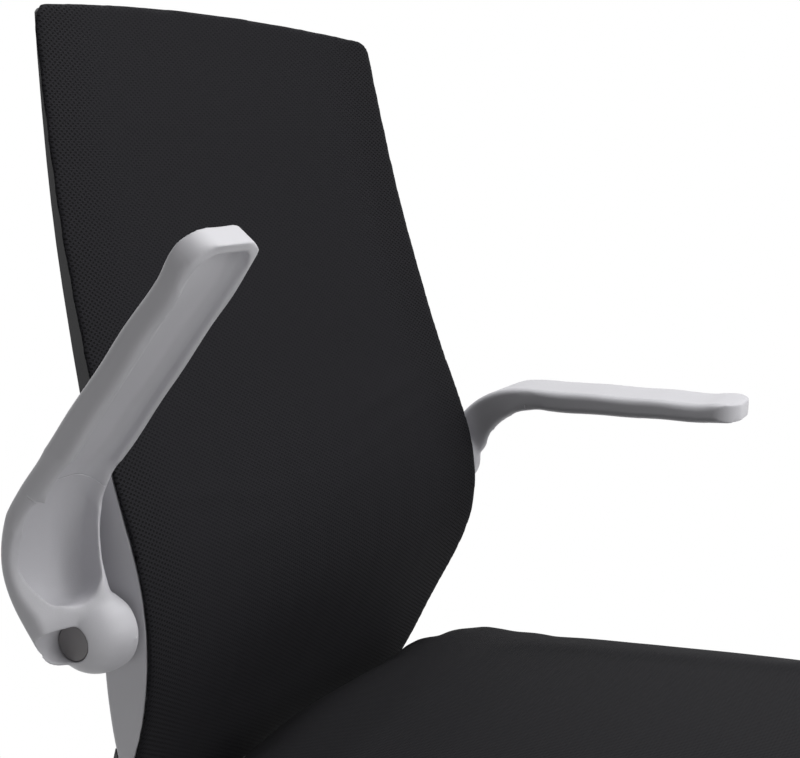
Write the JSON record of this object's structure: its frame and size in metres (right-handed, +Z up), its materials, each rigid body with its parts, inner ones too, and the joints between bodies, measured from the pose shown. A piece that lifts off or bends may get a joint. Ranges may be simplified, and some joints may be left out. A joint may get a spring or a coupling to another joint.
{
  "type": "mesh office chair",
  "caption": "Swivel task chair with a curved mesh back, padded fabric seat, flip-up arms on side hubs, tilt mechanism, gas lift and caster star base.",
  "frame": {"origin": "on the floor, under the middle of the gas lift", "axes": "+Z up, -Y the way the chair faces, +X to the sitter's left"},
  "size_m": [0.6479, 0.634, 0.9657],
  "materials": {
    "grey_plastic": "satin moulded light grey",
    "panel_plastic": "satin moulded light grey",
    "cap_plastic": "satin mid grey",
    "black_plastic": "fine grained black",
    "white_plastic": "natural acetal",
    "charcoal_plastic": "satin charcoal",
    "wheel_plastic": "smooth nylon tread",
    "steel": "zinc plated",
    "chrome": "hard chromed",
    "black_steel": "black powder coat",
    "plywood": "bare plywood",
    "seat_fabric": "fine black weave over foam",
    "back_fabric": "near-black spacer mesh"
  },
  "bodies": {
    "base": {"star_base": "grey_plastic", "caster_stems": "steel", "column_tube": "black_steel", "guide_bush": "white_plastic", "thrust_bearing": "steel", "cover_lower": "black_plastic"},
    "rotor": {"piston_rod": "chrome", "retaining_clip": "steel"},
    "column": {"gas_cylinder": "chrome", "mechanism_housing": "black_steel", "tilt_pin": "steel", "tension_bolt": "steel", "tension_spring": "steel", "cover_upper": "black_plastic"},
    "cover_mid": {"cover_middle": "black_plastic"},
    "valve": {"valve_pin": "steel"},
    "lock": {"tilt_lock_slider": "white_plastic"},
    "lever": {"height_lever": "black_steel", "lever_paddle": "black_plastic"},
    "knob": {"tension_knob": "black_plastic"},
    "seat": {"seat_plate": "black_steel", "seat_pan": "black_plastic", "seat_board": "plywood", "seat_cushion": "seat_fabric", "seat_screws": "steel", "spine_screws": "steel", "rear_frame": "grey_plastic", "back_frame": "charcoal_plastic", "back_mesh": "back_fabric", "back_screws": "steel", "arm_pivots": "steel", "pivot_washers": "white_plastic"},
    "left_arm": {"arm_left": "grey_plastic", "arm_panel_left": "panel_plastic", "hub_cap_left": "cap_plastic"},
    "right_arm": {"arm_right": "grey_plastic", "arm_panel_right": "panel_plastic", "hub_cap_right": "cap_plastic"},
    "caster_1": {"caster_hood_1": "black_plastic", "caster_axle_1": "steel"},
    "wheel_1a": {"caster_wheel_1a": "wheel_plastic"},
    "wheel_1b": {"caster_wheel_1b": "wheel_plastic"},
    "caster_2": {"caster_hood_2": "black_plastic", "caster_axle_2": "steel"},
    "wheel_2a": {"caster_wheel_2a": "wheel_plastic"},
    "wheel_2b": {"caster_wheel_2b": "wheel_plastic"},
    "caster_3": {"caster_hood_3": "black_plastic", "caster_axle_3": "steel"},
    "wheel_3a": {"caster_wheel_3a": "wheel_plastic"},
    "wheel_3b": {"caster_wheel_3b": "wheel_plastic"},
    "caster_4": {"caster_hood_4": "black_plastic", "caster_axle_4": "steel"},
    "wheel_4a": {"caster_wheel_4a": "wheel_plastic"},
    "wheel_4b": {"caster_wheel_4b": "wheel_plastic"},
    "caster_5": {"caster_hood_5": "black_plastic", "caster_axle_5": "steel"},
    "wheel_5a": {"caster_wheel_5a": "wheel_plastic"},
    "wheel_5b": {"caster_wheel_5b": "wheel_plastic"}
  },
  "joints": [
    {"name": "swivel", "type": "hinge", "parent": "base", "child": "rotor", "pos_m": [0, 0, 0.045], "axis": [0, 0, 1], "continuous": true},
    {"name": "lift", "type": "slide", "parent": "rotor", "child": "column", "axis": [0, 0, 1], "range_m": [0, 0.1]},
    {"name": "cover_slide", "type": "slide", "parent": "base", "child": "cover_mid", "axis": [0, 0, 1], "range_m": [0, 0.05]},
    {"name": "tilt_lock", "type": "slide", "parent": "column", "child": "lock", "axis": [-1, 0, 0], "range_m": [0, 0.012]},
    {"name": "height_lever", "type": "hinge", "parent": "lock", "child": "lever", "pos_m": [-0.039, 0, 0.324], "axis": [0, 1, 0], "range_deg": [0, 5], "stiffness_Nm_per_rad": 8, "springref_deg": -3.44},
    {"name": "valve_press", "type": "slide", "parent": "column", "child": "valve", "axis": [0, 0, -1], "range_m": [0, 0.005]},
    {"name": "tension_turn", "type": "hinge", "parent": "column", "child": "knob", "pos_m": [0, -0.105, 0.23], "axis": [0, 0, 1], "continuous": true},
    {"name": "tilt", "type": "hinge", "parent": "column", "child": "seat", "pos_m": [0, -0.04, 0.326], "axis": [-1, 0, 0], "range_deg": [0, 15], "stiffness_Nm_per_rad": 150, "springref_deg": -11.46},
    {"name": "arm_flip_left", "type": "hinge", "parent": "seat", "child": "left_arm", "pos_m": [0.276, 0.194, 0.585], "axis": [-1, 0, 0], "range_deg": [0, 90]},
    {"name": "arm_flip_right", "type": "hinge", "parent": "seat", "child": "right_arm", "pos_m": [-0.276, 0.194, 0.585], "axis": [-1, 0, 0], "range_deg": [-51, 39]},
    {"name": "caster_swivel_1", "type": "hinge", "parent": "base", "child": "caster_1", "pos_m": [0, -0.29, 0.05], "axis": [0, 0, 1], "continuous": true},
    {"name": "wheel_roll_1a", "type": "hinge", "parent": "caster_1", "child": "wheel_1a", "pos_m": [0.01032, -0.30474, 0.025], "axis": [0.8192, 0.5736, 0], "continuous": true},
    {"name": "wheel_roll_1b", "type": "hinge", "parent": "caster_1", "child": "wheel_1b", "pos_m": [0.01032, -0.30474, 0.025], "axis": [0.8192, 0.5736, 0], "continuous": true},
    {"name": "caster_swivel_2", "type": "hinge", "parent": "base", "child": "caster_2", "pos_m": [0.27581, -0.08962, 0.05], "axis": [0, 0, 1], "continuous": true},
    {"name": "wheel_roll_2a", "type": "hinge", "parent": "caster_2", "child": "wheel_2a", "pos_m": [0.29302, -0.08435, 0.025], "axis": [-0.2924, 0.9563, 0], "continuous": true},
    {"name": "wheel_roll_2b", "type": "hinge", "parent": "caster_2", "child": "wheel_2b", "pos_m": [0.29302, -0.08435, 0.025], "axis": [-0.2924, 0.9563, 0], "continuous": true},
    {"name": "caster_swivel_3", "type": "hinge", "parent": "base", "child": "caster_3", "pos_m": [0.17046, 0.23461, 0.05], "axis": [0, 0, 1], "continuous": true},
    {"name": "wheel_roll_3a", "type": "hinge", "parent": "caster_3", "child": "wheel_3a", "pos_m": [0.17077, 0.25261, 0.025], "axis": [-0.9998, 0.0175, 0], "continuous": true},
    {"name": "wheel_roll_3b", "type": "hinge", "parent": "caster_3", "child": "wheel_3b", "pos_m": [0.17077, 0.25261, 0.025], "axis": [-0.9998, 0.0175, 0], "continuous": true},
    {"name": "caster_swivel_4", "type": "hinge", "parent": "base", "child": "caster_4", "pos_m": [-0.17046, 0.23461, 0.05], "axis": [0, 0, 1], "continuous": true},
    {"name": "wheel_roll_4a", "type": "hinge", "parent": "caster_4", "child": "wheel_4a", "pos_m": [-0.18748, 0.24047, 0.025], "axis": [-0.3256, -0.9455, 0], "continuous": true},
    {"name": "wheel_roll_4b", "type": "hinge", "parent": "caster_4", "child": "wheel_4b", "pos_m": [-0.18748, 0.24047, 0.025], "axis": [-0.3256, -0.9455, 0], "continuous": true},
    {"name": "caster_swivel_5", "type": "hinge", "parent": "base", "child": "caster_5", "pos_m": [-0.27581, -0.08962, 0.05], "axis": [0, 0, 1], "continuous": true},
    {"name": "wheel_roll_5a", "type": "hinge", "parent": "caster_5", "child": "wheel_5a", "pos_m": [-0.28664, -0.10399, 0.025], "axis": [0.7986, -0.6018, 0], "continuous": true},
    {"name": "wheel_roll_5b", "type": "hinge", "parent": "caster_5", "child": "wheel_5b", "pos_m": [-0.28664, -0.10399, 0.025], "axis": [0.7986, -0.6018, 0], "continuous": true}
  ],
  "couplings": [
    {"joint": "cover_slide", "follows": "lift", "ratio": 0.5},
    {"joint": "valve_press", "follows": "height_lever", "m_per_rad": 0.052}
  ]
}
